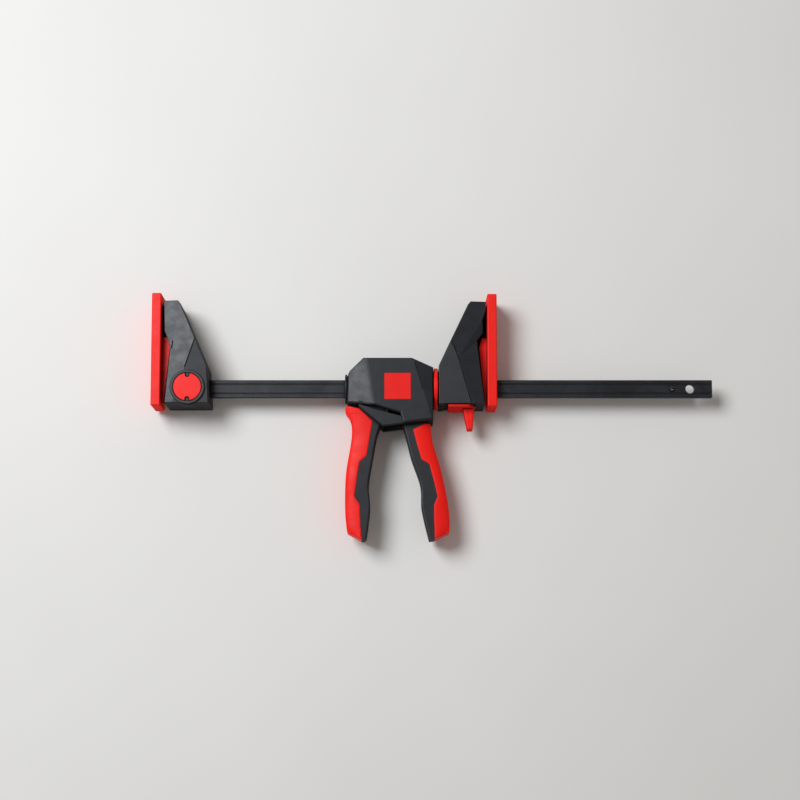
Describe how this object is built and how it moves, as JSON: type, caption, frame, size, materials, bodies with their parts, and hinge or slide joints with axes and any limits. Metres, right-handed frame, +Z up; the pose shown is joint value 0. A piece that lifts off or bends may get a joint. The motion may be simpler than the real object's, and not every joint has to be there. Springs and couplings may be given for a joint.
{
  "type": "quick release bar clamp",
  "caption": "One-hand quick release bar clamp set up as a spreader: steel rail, two padded jaws, swivelling trigger handle, release lever and lock button.",
  "frame": {"origin": "middle of the clamp's box in X and Y, on the face that it lies on", "axes": "+X along the rail towards its free end, +Y towards the tips of the jaws, +Z up out of the clamp's side"},
  "size_m": [0.59, 0.261, 0.0465],
  "materials": {
    "black_plastic": "satin glass-filled plastic, fine spark texture",
    "red_plastic": "satin moulded plastic",
    "red_pad": "soft satin plastic",
    "red_grip": "soft-touch overmoulding",
    "black_steel": "black oxide bar steel",
    "plate_steel": "hardened plate",
    "spring_steel": "drawn wire",
    "screw_steel": "black zinc",
    "label_red": "printed foil label, plain"
  },
  "bodies": {
    "bar": {"rail": "black_steel", "rail_stop_pin": "screw_steel", "end_jaw": "black_plastic", "end_jaw_pad": "red_pad", "button_ring": "black_plastic", "button_spring": "spring_steel"},
    "lock_button": {"lock_button": "red_plastic", "button_yoke": "plate_steel", "lock_pin": "plate_steel"},
    "carriage": {"drive_jaw": "black_plastic", "drive_jaw_pad": "red_pad", "swivel_sleeve": "black_plastic", "sleeve_cap": "black_plastic", "swivel_ring": "red_plastic", "jaw_pins": "plate_steel", "brake_spring": "spring_steel", "drive_spring": "spring_steel"},
    "release_lever": {"release_lever": "red_plastic"},
    "brake": {"brake_plates": "plate_steel"},
    "handle_unit": {"front_housing": "black_plastic", "back_housing": "black_plastic", "housing_screws": "screw_steel", "badge": "label_red", "handle_grip": "red_grip", "trigger_pin": "plate_steel"},
    "trigger": {"trigger": "black_plastic", "trigger_grip": "red_grip"},
    "drive_plates": {"drive_plates": "plate_steel", "thrust_ring": "plate_steel"}
  },
  "joints": [
    {"name": "jaw_slide", "type": "slide", "parent": "bar", "child": "carriage", "axis": [1, 0, 0], "range_m": [-0.1416, 0.1822]},
    {"name": "handle_swivel", "type": "hinge", "parent": "carriage", "child": "handle_unit", "pos_m": [-0.0363, 0.0309, 0.0225], "axis": [1, 0, 0], "continuous": true},
    {"name": "trigger_squeeze", "type": "hinge", "parent": "handle_unit", "child": "trigger", "pos_m": [-0.0225, 0.0499, 0.0225], "axis": [0, 0, -1], "range_deg": [0, 19], "stiffness_Nm_per_rad": 1.6, "springref_deg": -14.32},
    {"name": "plate_push", "type": "slide", "parent": "carriage", "child": "drive_plates", "axis": [-1, 0, 0], "range_m": [0, 0.00639], "deforming": ["drive_spring"]},
    {"name": "release_press", "type": "slide", "parent": "carriage", "child": "release_lever", "axis": [-1, 0, 0], "range_m": [0, 0.0042], "stiffness_N_per_m": 900, "springref_m": -0.004},
    {"name": "brake_tilt", "type": "hinge", "parent": "carriage", "child": "brake", "pos_m": [0.0319, 0.0464, 0.0225], "axis": [0, 0, -1], "range_deg": [0, 8.2], "deforming": ["brake_spring"]},
    {"name": "button_press", "type": "slide", "parent": "bar", "child": "lock_button", "axis": [0, 0, -1], "range_m": [0, 0.0056], "stiffness_N_per_m": 700, "springref_m": -0.003, "deforming": ["button_spring"]}
  ],
  "couplings": [
    {"joint": "plate_push", "follows": "trigger_squeeze", "m_per_rad": 0.018654},
    {"joint": "brake_tilt", "follows": "release_press", "rad_per_m": 33.244}
  ]
}
